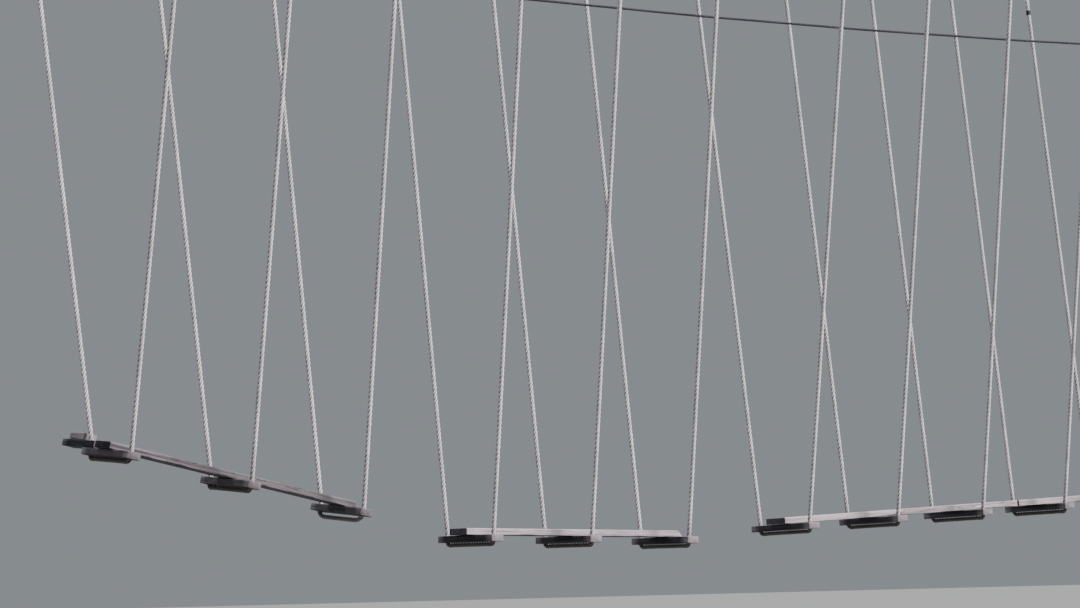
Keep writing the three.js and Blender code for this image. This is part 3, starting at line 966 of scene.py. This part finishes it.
def rope_material():
    rope = bpy.context.scene.footbridge_ropes
    material, tree, shader = new_material("bleached_rope")
    yarn = yarns(tree, 13.0, 300.0)
    spots = weather(tree, 11.0, 900.0)
    # Painted shade between the strands, partly dirt: the rope darkens where its surface lies close to its
    # centre.
    tone = attribute(tree, "rise")["Fac"].band(4.7 * MM, 6.5 * MM).mix(rope.groove_dirt_and_shade, rope.fibre)
    shade = yarn["Crest"].band(0.0, 0.65, 0.66, 1.0) * yarn["Fuzz"].band(0.3, 0.7, 0.86, 1.06)
    tone = (spots["Patch"] * 0.22).mix(tone.vector("SCALE", shade), rope.groove_dirt_and_shade)
    tone = (spots["Speck"] * 0.18).mix(tone, rope.stain)
    # Painted shade, partly real staining, on the rope in and under the boards.
    tone = (attribute(tree, "stain")["Fac"] * 0.9).mix(tone, rope.stain)
    feed(shader, Base_Color=tone, Roughness=0.88, Sheen_Weight=0.15,
         Normal=bump(yarn["Fuzz"].calc("MULTIPLY_ADD", 0.5, yarn["Crest"]), 1.0, 0.7 * MM))
    return material


def twine_material():
    rope = bpy.context.scene.footbridge_ropes
    material, tree, shader = new_material("whipping_twine")
    crest = yarns(tree, 3.0, 900.0)["Crest"]
    # Painted shade between the twine's turns: their crests are lighter and the hollows darker.
    tone = (crest * 0.5).mix(rope.twine, rope.twine * 2.6)
    feed(shader, Base_Color=tone, Roughness=0.8, Normal=bump(crest, 0.4, 0.2 * MM))
    return material


def cable_material():
    cable = bpy.context.scene.footbridge_cables
    material, tree, shader = new_material("wire_rope")
    crest = yarns(tree, 9.0, -42.0)["Crest"]
    spots = weather(tree, 9.0, 420.0)
    # Painted shade between the wires: the steel tone darkens away from each wire's crest.
    wire = crest.band(0.05, 0.7, 0.42, 1.0)
    tone = add(tree, "ShaderNodeVectorMath", cable.steel, wire, operation="SCALE")
    rusty = spots["Patch"].calc("MULTIPLY_ADD", 0.12, spots["Speck"] * 0.6)
    feed(shader, Base_Color=rusty.mix(tone, cable.rust), Metallic=rusty.band(0.0, 0.7, 0.25, 0.05),
         Roughness=spots["Patch"].band(0.0, 1.0, 0.42, 0.6), Normal=bump(crest, 0.9, 0.35 * MM))
    return material


def metal_material(name, bright, dull, grain_scale, roughness):
    """Bare or zinc-coated metal with a crystal spangle, dull patches and fine dents."""
    material, tree, shader = new_material(name)
    place = add(tree, "ShaderNodeTexCoord")["Object"]
    spots = weather(tree, 14.0, 700.0, place)
    cells = add(tree, "ShaderNodeTexVoronoi", place, Scale=grain_scale)
    crystal = add(tree, "ShaderNodeSeparateColor", cells["Color"])
    tone = (crystal * 0.55).mix(bright, dull)
    tone = (spots["Patch"] * 0.5).mix(tone, dull)
    tone = (spots["Speck"] * 0.35).mix(tone, dull * 0.4)
    rough = spots["Patch"].calc("MULTIPLY_ADD", 0.14, crystal.calc("MULTIPLY_ADD", 0.16, roughness))
    dents = spots["Speck"].calc("MULTIPLY_ADD", -0.6, crystal)
    feed(shader, Base_Color=tone, Metallic=0.85, Roughness=rough, Normal=bump(dents, 0.12, 0.3 * MM))
    return material


def zinc_material():
    steel = bpy.context.scene.footbridge_steel
    return metal_material("zinc_coating", steel.zinc, steel.dull, 190.0, 0.38)


def sleeve_material():
    sleeve = bpy.context.scene.footbridge_cables.sleeve
    return metal_material("pressed_sleeve", sleeve, sleeve * 0.6, 520.0, 0.34)


MAKERS = {
    "laid_strands": strand_tree,
    "seated_pieces": seat_tree,
    "weather_patches": patches_group,
    "long_grain": grain_group,
    "twisted_yarns": twist_group,
    "silvered_wood": board_material,
    "bleached_rope": rope_material,
    "whipping_twine": twine_material,
    "wire_rope": cable_material,
    "zinc_coating": zinc_material,
    "pressed_sleeve": sleeve_material,
}


def shared(name):
    """A node group or material by name, made on first use."""
    return bpy.data.node_groups.get(name) or bpy.data.materials.get(name) or MAKERS[name]()


# Operators

class PlanksOperator(bpy.types.Operator):
    """Makes the weathered plank of each deck"""

    bl_idname = "footbridge.planks"
    bl_label = "Planks"

    def execute(self, context):
        boards = context.scene.footbridge_boards
        width, thick = boards.plank_width, boards.plank_thick
        for deck in DECKS:
            seed = 10 + deck.number
            name = f"plank_{deck.number}"
            piece = board(f"{name}_board", deck.plank, width, thick, seed, deck.slant, worn=deck.worn)
            mark_board(piece, width, thick, seed, plank_damp_and_shade(deck.shaded))
            piece.data.transform(deck.matrix @ Matrix.Translation((0, 0, GAP + thick / 2)))
            own(piece, deck.body, "weathered_board", name)
        return {"FINISHED"}


class CrosspiecesOperator(bpy.types.Operator):
    """Makes the drilled crosspieces under the planks, and the splint and block on the first one"""

    bl_idname = "footbridge.crosspieces"
    bl_label = "Crosspieces"

    def place(self, piece, deck, along, height, node):
        """Turns a finished board across the walk, lifts it to its place and hands it over."""
        turn = Matrix.Rotation(math.pi / 2, 4, "Z")
        piece.data.transform(deck.matrix @ Matrix.Translation((along, 0, height)) @ turn)
        own(piece, deck.body, "weathered_board", node)

    def execute(self, context):
        boards = context.scene.footbridge_boards
        width, thick = boards.cross_width, boards.cross_thick
        half = boards.cross_length / 2
        for deck in DECKS:
            # Painted shade on the crosspieces, with more of it on a shaded deck.
            damp = crosspiece_damp_and_shade(half, 0.08 + 0.6 * deck.shaded, 1 - 0.3 * deck.shaded)
            for i, along in enumerate(deck.places, 1):
                name = f"crosspiece_{deck.number}_{i}"
                seed = 20 + 3 * deck.number + i
                piece = board(f"{name}_board", (-half, half), width, thick, seed, wear=0.8)
                holes = [side * boards.hole_spacing / 2 for side in SIDES]
                drills = [hole_cutter(f"{name}_drill", hole, thick, boards.hole_diameter) for hole in holes]
                mark_board(cut(piece, drills, WOOD_SHARP), width, thick, seed, damp)
                self.place(piece, deck, along, -thick / 2, name)
        deck, seed = DECKS[0], 40
        splint = board("end_splint_board", SPLINT, width, thick, seed)
        place, aside = SPLINT_HOLE
        drill = hole_cutter("end_splint_drill", place, thick, SPLINT_HOLE_DIAMETER, aside)
        mark_board(cut(splint, [drill], WOOD_SHARP), width, thick, seed, crosspiece_damp_and_shade(SPLINT[1], 0.3, 1.0))
        self.place(splint, deck, deck.places[0], GAP + thick / 2, "end_splint")
        piece = board("end_block_board", BLOCK, BLOCK_WIDTH, BLOCK_THICK, seed + 1)
        mark_board(piece, BLOCK_WIDTH, BLOCK_THICK, seed + 1, lambda spots, normals: 0 * spots[:, 0])
        self.place(piece, deck, deck.places[0], GAP + thick + GAP + BLOCK_THICK / 2, "end_block")
        return {"FINISHED"}


class RopesOperator(bpy.types.Operator):
    """Lays each rope loop: three strands, two spliced eyes, whippings and the run under the board"""

    bl_idname = "footbridge.ropes"
    bl_label = "Rope loops"

    def rope(self, deck, name, along, scene):
        rope = scene.footbridge_ropes
        belly = SLACK if name == SLACK_ROPE else TIGHT
        near, far = (rope_leg(deck, along, side, scene, belly) for side in SIDES)
        line = near.eye + near.bends + far.bends[::-1] + far.eye
        strand = rope.diameter / 2 * 0.49
        values = {"Strands": rope.strands, "Strand Radius": strand, "Uneven": 0.12, "Sides": 7,
                  "Helix Radius": rope.diameter / 2 - strand + rope.fuzz, "Lay Pitch": rope.lay,
                  "Step": rope.lay / 9, "Material": shared("bleached_rope")}
        tucks = {**values, "Helix Radius": rope.diameter * 0.40, "Strand Radius": strand * 0.95,
                 "Lay Pitch": -rope.lay * 1.15, "Taper": 0.72, "Weave": rope.diameter * 0.14,
                 "Weave Pitch": rope.lay, "Step": rope.lay / 22, "Sides": 8}
        twine = {**values, "Strands": 1, "Strand Radius": 1.1 * MM, "Helix Radius": rope.diameter * 0.55,
                 "Lay Pitch": 2.1 * MM, "Step": 0.16 * MM, "Sides": 5, "Uneven": 0.0,
                 "Material": shared("whipping_twine")}
        pieces = [laid(f"{name}_laid", softened(line, 10 * MM), values)]
        splice = LONG_SPLICE[1] if name == LONG_SPLICE[0] else SPLICE_LENGTH
        for leg in (near, far):
            top = leg.throat - leg.down * SPLICE_OVERLAP * 0.6
            foot = leg.throat + leg.down * (splice - SPLICE_OVERLAP - WHIPPING * 0.6)
            wrapped = foot + leg.down * WHIPPING
            pieces.append(laid(f"{name}_tucks", [top, top.lerp(foot, 0.5), foot], tucks))
            pieces.append(laid(f"{name}_whipping", [foot, foot.lerp(wrapped, 0.5), wrapped], twine))
        piece = joined(f"{name}_laid", pieces)
        back = np.array(deck.matrix.inverted())
        height = rows(piece.data.vertices, "co") @ back[2, :3] + back[2, 3]
        # Painted shade, partly real staining: the rope darkens in the holes and towards the board from below
        # it.
        stain = eased(-height, -4 * MM, 16 * MM) + 0.3 * eased(-height, -90 * MM, 0)
        share = 0.85 if name == SLACK_ROPE else 1.0
        store(piece.data, "stain", share * np.clip(stain, 0, 1))
        own(piece, name, "laid_rope", name)

    def execute(self, context):
        for deck in DECKS:
            for i, along in enumerate(deck.places, 1):
                self.rope(deck, f"rope_{deck.number}_{i}", along, context.scene)
        return {"FINISHED"}


class CablesOperator(bpy.types.Operator):
    """Lays the two main cables and the middle safety cable, with pressed eyes at their ends"""

    bl_idname = "footbridge.cables"
    bl_label = "Steel cables"

    def ferrule(self, name, throat, along, radius):
        length = FERRULE_LENGTH
        profile = [(0, 0), (0.72, 0), (0.86, 1 * MM), (0.97, 3 * MM), (1, 6 * MM), (1, length - 16 * MM),
                   (0.96, length - 10 * MM), (0.8, length - 4 * MM), (0.66, length - 0.8 * MM),
                   (0.6, length), (0, length)]
        profile = [(radius * share, height) for share, height in profile]
        return lofted(name, "pressed_sleeve", turned(profile, throat - along * length * 0.3, along, 32))

    def execute(self, context):
        cable = context.scene.footbridge_cables
        for line, node, diameter in (("near", "main_cable_near", cable.diameter),
                                     ("far", "main_cable_far", cable.diameter),
                                     ("middle", "safety_cable", cable.safety)):
            radius = diameter / 2
            strand = radius / 3
            values = {"Strands": cable.strands, "Lay Pitch": cable.lay * diameter, "Sides": 5,
                      "Strand Radius": strand * 1.03, "Helix Radius": radius - strand,
                      "Step": 0.67 * diameter, "Side": (0.0, 0.0, 1.0), "Material": shared("wire_rope")}
            core = {**values, "Strands": 1, "Strand Radius": strand * 1.2, "Helix Radius": 0.0,
                    "Step": 24 * MM}
            knots = cable_knots(line)
            first_eye, first, first_along = cable_end(knots[0], knots[1], radius)
            last_eye, last, last_along = cable_end(knots[-1], knots[-2], radius)
            run = softened([*first_eye, *knots[1:-1], *last_eye], 28 * MM)
            sleeve = radius * cable.ferrule
            pieces = [laid(f"{node}_laid", run, values), laid(f"{node}_core", run, core),
                      self.ferrule(f"{node}_ferrule", first, first_along, sleeve),
                      self.ferrule(f"{node}_ferrule", last, last_along, sleeve)]
            own(joined(f"{node}_laid", pieces), "anchors", "steel_cable", node)
        return {"FINISHED"}


class BracketsOperator(bpy.types.Operator):
    """Makes the end brackets: an upright flat bar, a hollow crossarm and the weld between them"""

    bl_idname = "footbridge.brackets"
    bl_label = "End brackets"

    def arm(self, end, tube_radius, steps=5):
        """Rings of the hollow square crossarm, with round corners inside and out."""
        middle = Vector((end.x + end.toward * (BAR_THICK + ARM_SIZE / 2), 0, end.z))
        rings = []
        for wall, side in ((0, -1), (0, 1), (ARM_WALL, 1), (ARM_WALL, -1)):
            corner = tube_radius - wall
            inset = (ARM_SIZE / 2 - wall - corner) * math.sqrt(2)
            ring = []
            for quarter in range(4):
                turn = quarter * math.pi / 2
                for i in range(steps + 1):
                    round_corner = heading(turn + math.pi / 2 * i / steps) * corner
                    spot = heading(turn + math.pi / 4) * inset + round_corner
                    ring.append(middle + Vector((spot.x, side * (end.half + ARM_PAST), spot.y)))
            rings.append(ring)
        return rings

    def weld(self, name, end):
        """Overlapping beads along both horizontal seams between the bar and the crossarm."""
        bm = bmesh.new()
        bmesh.ops.create_icosphere(bm, subdivisions=2, radius=4 * MM)
        bead = solid(f"{name}_bead", "zinc_coating", bm)
        bead.data.transform(Matrix.Diagonal((1, 0.75, 0.8, 1)))
        seam = end.x + end.toward * (BAR_THICK + 1 * MM)
        count = round(BAR_WIDTH / BEAD_PITCH)
        places = []
        for up in SIDES:
            height = end.z + up * (ARM_SIZE / 2 + 0.6 * MM)
            for i in range(1, count):
                spot = Vector((seam, -BAR_WIDTH / 2 + BAR_WIDTH * i / count, height))
                places.append((spot, (end.toward, 0, up)))
        beads = seated(f"{name}_weld", bead, places, 0.3)
        bpy.data.objects.remove(bead)
        return beads

    def execute(self, context):
        steel = context.scene.footbridge_steel
        for end in ENDS:
            name = f"bracket_{end.name}"
            top = end.z + ARM_SIZE / 2 + BAR_PAST
            foot = end.ring("middle").z - BAR_PAST
            centre = (end.x + end.toward * BAR_THICK / 2, 0, (top + foot) / 2)
            bar = block(f"{name}_bar", (BAR_THICK, BAR_WIDTH, top - foot), centre, steel.edge_radius)
            drills = []
            for z in (top - BOLT_INSET, foot + BOLT_INSET):
                for side in SIDES:
                    start = Vector((end.x - 20 * MM, side * (BAR_WIDTH / 2 - BOLT_INSET), z))
                    bore = [(0, 0), (BOLT_HOLE / 2, 0), (BOLT_HOLE / 2, 40 * MM), (0, 40 * MM)]
                    drills.append(lofted(f"{name}_drill", "zinc_coating", turned(bore, start, X_AXIS, 32)))
            cut(bar, drills)
            arm = lofted(f"{name}_arm", "zinc_coating", self.arm(end, steel.tube_radius), closed=True)
            piece = joined(f"{name}_steel", [bar, arm, self.weld(name, end)])
            own(piece, "anchors", "galvanised_steel", name)
        return {"FINISHED"}


def hex_bolt(name, width):
    """A hex head on a washer, standing on its own origin."""
    rim, corner, head = width * 0.92, width / math.sqrt(3), 5.5 * MM
    washer = [(0, 0), (rim, 0), (rim, 1.2 * MM), (rim * 0.97, 1.5 * MM), (0, 1.5 * MM)]
    hexagon = [(0, 1.4 * MM), (corner, 1.4 * MM), (corner, head), (corner * 0.86, head + 0.8 * MM),
               (0, head + 0.8 * MM)]
    shells = turned(washer, Vector(), Z_AXIS, 28), turned(hexagon, Vector(), Z_AXIS, 6)
    return lofted(name, "zinc_coating", *shells)


def screw_head(name, diameter):
    """A flat countersunk head with a cross recess, standing a little proud."""
    radius = diameter / 2
    profile = [(0, -1 * MM), (radius * 0.9, -1 * MM), (radius, 0.2 * MM),
               (radius * 0.93, 0.55 * MM), (0, 0.7 * MM)]
    head = lofted(name, "zinc_coating", turned(profile, Vector(), Z_AXIS, 20))
    slots = [block(f"{name}_slot", (radius * wide, radius * deep, 2 * MM), (0, 0, 1 * MM))
             for wide, deep in ((1.1, 0.24), (0.24, 1.1))]
    return cut(head, slots)


class RingPlatesOperator(bpy.types.Operator):
    """Makes the ring plates that hold the cables' eyes, with their bolts"""

    bl_idname = "footbridge.ring_plates"
    bl_label = "Ring plates"

    def ring(self, centre, along, around=56, across=16):
        """Rings of a bent rod that stands in the plane of its cable."""
        axis = along.cross(Z_AXIS).normalized()
        upright = axis.cross(along)
        rings = []
        for i in range(around):
            turn = math.tau * i / around
            spoke = along * math.cos(turn) + upright * math.sin(turn)
            angles = [math.tau * j / across for j in range(across)]
            outs = [spoke * math.cos(angle) + axis * math.sin(angle) for angle in angles]
            rings.append([centre + spoke * RING_RADIUS + out * RING_ROD for out in outs])
        return rings

    def execute(self, context):
        bolt = hex_bolt("plate_bolt", context.scene.footbridge_steel.bolt_size)
        rod = RING_ROD + 1 * MM
        for end in ENDS:
            out = X_AXIS * end.toward
            for line in LINES:
                node = f"ring_plate_{end.name}_{line}"
                knots = cable_knots(line)
                ring = end.ring(line)
                along = ((knots[1] if end.toward > 0 else knots[-2]) - ring).normalized()
                face = end.x + end.toward * (BAR_THICK + ARM_SIZE * abs(LINES[line]) + GAP)
                back = ring - Vector((along.x, along.y, 0)).normalized() * RING_RADIUS
                middle = (face + end.toward * BASE_THICK / 2, back.y, ring.z)
                plate = block(f"{node}_base", (BASE_THICK, BASE_WIDTH, BASE_HEIGHT), middle, 1.6 * MM)
                start = Vector((face + end.toward * 2 * MM, back.y, ring.z))
                reach = abs(back.x - start.x)
                neck = [(0, 0), (rod + 5 * MM, 0), (rod + 5 * MM, BASE_THICK - 2 * MM),
                        (rod + 3 * MM, BASE_THICK - 0.6 * MM), (rod + 0.6 * MM, BASE_THICK + 2 * MM),
                        (rod, BASE_THICK + 4 * MM), (rod, reach), (0, reach)]
                shank = lofted(f"{node}_neck", "zinc_coating", turned(neck, start, out, 28))
                loop = lofted(f"{node}_ring", "zinc_coating", self.ring(ring, along), closed=True)
                x = face + end.toward * BASE_THICK
                ys = [back.y + side * (BASE_WIDTH / 2 - BASE_INSET) for side in SIDES]
                zs = [ring.z + side * (BASE_HEIGHT / 2 - BASE_INSET) for side in SIDES]
                bolts = seated(f"{node}_bolts", bolt, [((x, y, z), out) for y in ys for z in zs])
                own(joined(f"{node}_steel", [plate, shank, loop, bolts]), "anchors", "galvanised_steel", node)
        bpy.data.objects.remove(bolt)
        return {"FINISHED"}


class ScrewsOperator(bpy.types.Operator):
    """Drives the screws that hold each plank to its crosspieces"""

    bl_idname = "footbridge.screws"
    bl_label = "Deck screws"

    def execute(self, context):
        boards = context.scene.footbridge_boards
        head = screw_head("deck_screw", context.scene.footbridge_steel.screw_diameter)
        top = GAP + boards.plank_thick - 0.3 * MM
        chance = random.Random(7)
        places = {}
        for deck in DECKS:
            up = deck.matrix.to_3x3() @ Z_AXIS
            for along in deck.places:
                for side in SIDES:
                    drift = [chance.uniform(-most, most) for most in SCREW_DRIFT]
                    spot = Vector((along + side * SCREW_ALONG + drift[0],
                                   side * boards.plank_width * SCREW_ACROSS + drift[1], top))
                    places.setdefault(deck.body, []).append((deck.matrix @ spot, up))
        for body, seats in places.items():
            own(seated(f"screws_{body}", head, seats), body, "galvanised_steel")
        bpy.data.objects.remove(head)
        return {"FINISHED"}


class StageOperator(bpy.types.Operator):
    """Sets the pale floor, the soft lights and the camera"""

    bl_idname = "footbridge.stage"
    bl_label = "Stage"

    def light(self, name, toward, strength, spread, tint=(1.0, 1.0, 1.0)):
        lamp = bpy.data.lights.new(name, "SUN")
        lamp.energy = strength
        lamp.angle = spread
        lamp.color = tint
        linked(name, lamp).rotation_euler = Vector(toward).to_track_quat("Z", "Y").to_euler()

    def camera(self, stage):
        flat = Vector((math.sin(stage.yaw), math.cos(stage.yaw), 0))
        forward = flat * math.cos(stage.pitch) + Z_AXIS * math.sin(stage.pitch)
        level = Vector((math.cos(stage.yaw), -math.sin(stage.yaw), 0))
        upright = level.cross(forward)
        right = level * math.cos(stage.roll) + upright * math.sin(stage.roll)
        up = upright * math.cos(stage.roll) - level * math.sin(stage.roll)
        lens = bpy.data.cameras.new("photo_view")
        lens.sensor_width = 36.0
        lens.lens = stage.lens
        lens.clip_end = 400.0
        made = linked("photo_view", lens)
        turn = Matrix((right, up, -forward)).transposed().to_4x4()
        made.matrix_world = Matrix.Translation(ORIGIN + Vector(stage.eye)) @ turn
        bpy.context.scene.camera = made

    def floor(self, stage):
        material, tree, shader = new_material("pale_floor")
        soft = add(tree, "ShaderNodeTexNoise", add(tree, "ShaderNodeTexCoord")["Object"], 1.3, 3.0, 0.5)
        feed(shader, Base_Color=soft.mix(stage.floor * 0.96, stage.floor), Roughness=0.95)
        bm = bmesh.new()
        place = Matrix.Translation((2.9, 0, ORIGIN.z - stage.drop))
        bmesh.ops.create_grid(bm, x_segments=2, y_segments=2, size=FLOOR_REACH, matrix=place)
        mesh = bpy.data.meshes.new("floor")
        bm.to_mesh(mesh)
        bm.free()
        mesh.materials.append(material)
        linked("floor", mesh)

    def execute(self, context):
        stage = context.scene.footbridge_stage
        self.floor(stage)
        world = bpy.data.worlds.new("studio")
        world.use_nodes = True
        seen = add(world.node_tree, "ShaderNodeLightPath")["Is Camera Ray"]
        feed(world.node_tree.nodes["Background"], stage.sky, seen.band(0.0, 1.0, stage.ambient, 1.0))
        context.scene.world = world
        self.light("key", KEY_FROM, stage.key, stage.spread, WARM)
        self.light("top", TOP_FROM, stage.top, stage.spread * 2)
        self.camera(stage)
        return {"FINISHED"}


OPERATORS = (
    StageOperator,
    RopesOperator,
    PlanksOperator,
    CrosspiecesOperator,
    ScrewsOperator,
    CablesOperator,
    BracketsOperator,
    RingPlatesOperator,
)
SETTINGS = {
    "footbridge_boards": BoardSettings,
    "footbridge_ropes": RopeSettings,
    "footbridge_cables": CableSettings,
    "footbridge_steel": SteelSettings,
    "footbridge_stage": StageSettings,
}


class FOOTBRIDGE_PT_pieces(bpy.types.Panel):
    """Lists the footbridge's pieces and their sizes"""

    bl_label = "Footbridge"
    bl_space_type = "VIEW_3D"
    bl_region_type = "UI"
    bl_category = "Footbridge"

    def draw(self, context):
        for operator in OPERATORS:
            self.layout.operator(operator.bl_idname)
        for key, group in SETTINGS.items():
            box = self.layout.box()
            box.label(text=group.__name__.replace("Settings", ""))
            for name in group.__annotations__:
                box.prop(getattr(context.scene, key), name)


def register():
    for key, group in SETTINGS.items():
        bpy.utils.register_class(group)
        setattr(bpy.types.Scene, key, PointerProperty(type=group))
    for operator in OPERATORS:
        bpy.utils.register_class(operator)
    bpy.utils.register_class(FOOTBRIDGE_PT_pieces)


def unregister():
    bpy.utils.unregister_class(FOOTBRIDGE_PT_pieces)
    for operator in reversed(OPERATORS):
        bpy.utils.unregister_class(operator)
    for key, group in SETTINGS.items():
        delattr(bpy.types.Scene, key)
        bpy.utils.unregister_class(group)


def main():
    register()
    for operator in OPERATORS:
        group, name = operator.bl_idname.split(".")
        getattr(getattr(bpy.ops, group), name)()


if __name__ == "__main__":
    main()
